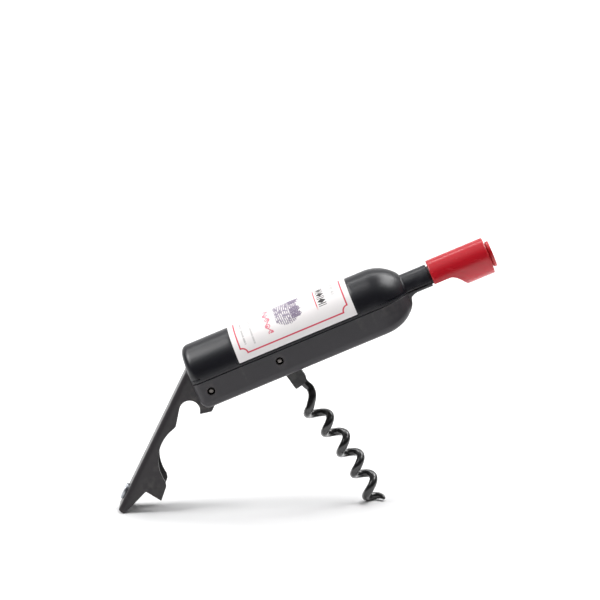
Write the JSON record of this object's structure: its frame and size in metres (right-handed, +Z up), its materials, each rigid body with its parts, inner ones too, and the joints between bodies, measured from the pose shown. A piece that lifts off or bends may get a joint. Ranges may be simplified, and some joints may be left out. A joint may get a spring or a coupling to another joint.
{
  "type": "waiter's corkscrew",
  "caption": "Bottle-shaped waiter's corkscrew with a folding steel lever, a folding worm and a small magnet, opened out and standing on lever and worm.",
  "frame": {"origin": "centre of the bounding box's base, on the surface that the opened corkscrew stands on", "axes": "+X towards the bottle's mouth, +Y across the width, +Z up"},
  "size_m": [0.1352, 0.0238, 0.0943],
  "materials": {
    "shell_plastic": "satin black moulding",
    "housing_plastic": "satin black moulding, slightly browner",
    "label_film": "printed film, satin",
    "capsule_plastic": "glossy red moulding",
    "black_steel": "black painted steel",
    "worm_steel": "glossy black coated wire",
    "hub_steel": "dull black casting",
    "plain_steel": "plain dull steel",
    "nickel": "nickel plate",
    "nylon": "natural nylon"
  },
  "bodies": {
    "bottle": {"front_shell": "shell_plastic", "rear_housing": "housing_plastic", "frame_liner": "plain_steel", "label": "label_film", "capsule": "capsule_plastic", "lever_pin": "plain_steel", "worm_pin": "plain_steel", "lever_washer_left": "nylon", "lever_washer_right": "nylon", "worm_spacer_left": "nylon", "worm_spacer_right": "nylon", "body_screw_1": "plain_steel", "body_screw_2": "plain_steel", "body_screw_3": "plain_steel", "body_screw_4": "plain_steel"},
    "lever": {"lever": "black_steel", "magnet": "nickel", "lever_bush": "plain_steel"},
    "worm": {"worm_hub": "hub_steel", "worm": "worm_steel"}
  },
  "joints": [
    {"name": "lever_hinge", "type": "hinge", "parent": "bottle", "child": "lever", "pos_m": [-0.03372, 0, 0.04453], "axis": [0, -1, 0], "range_deg": [0, 138.7]},
    {"name": "worm_hinge", "type": "hinge", "parent": "bottle", "child": "worm", "pos_m": [-0.00962, 0, 0.05461], "axis": [0, -1, 0], "range_deg": [0, 74.5]}
  ],
  "couplings": [
    {"joint": "worm_hinge", "follows": "lever_hinge", "ratio": 0.53713}
  ]
}
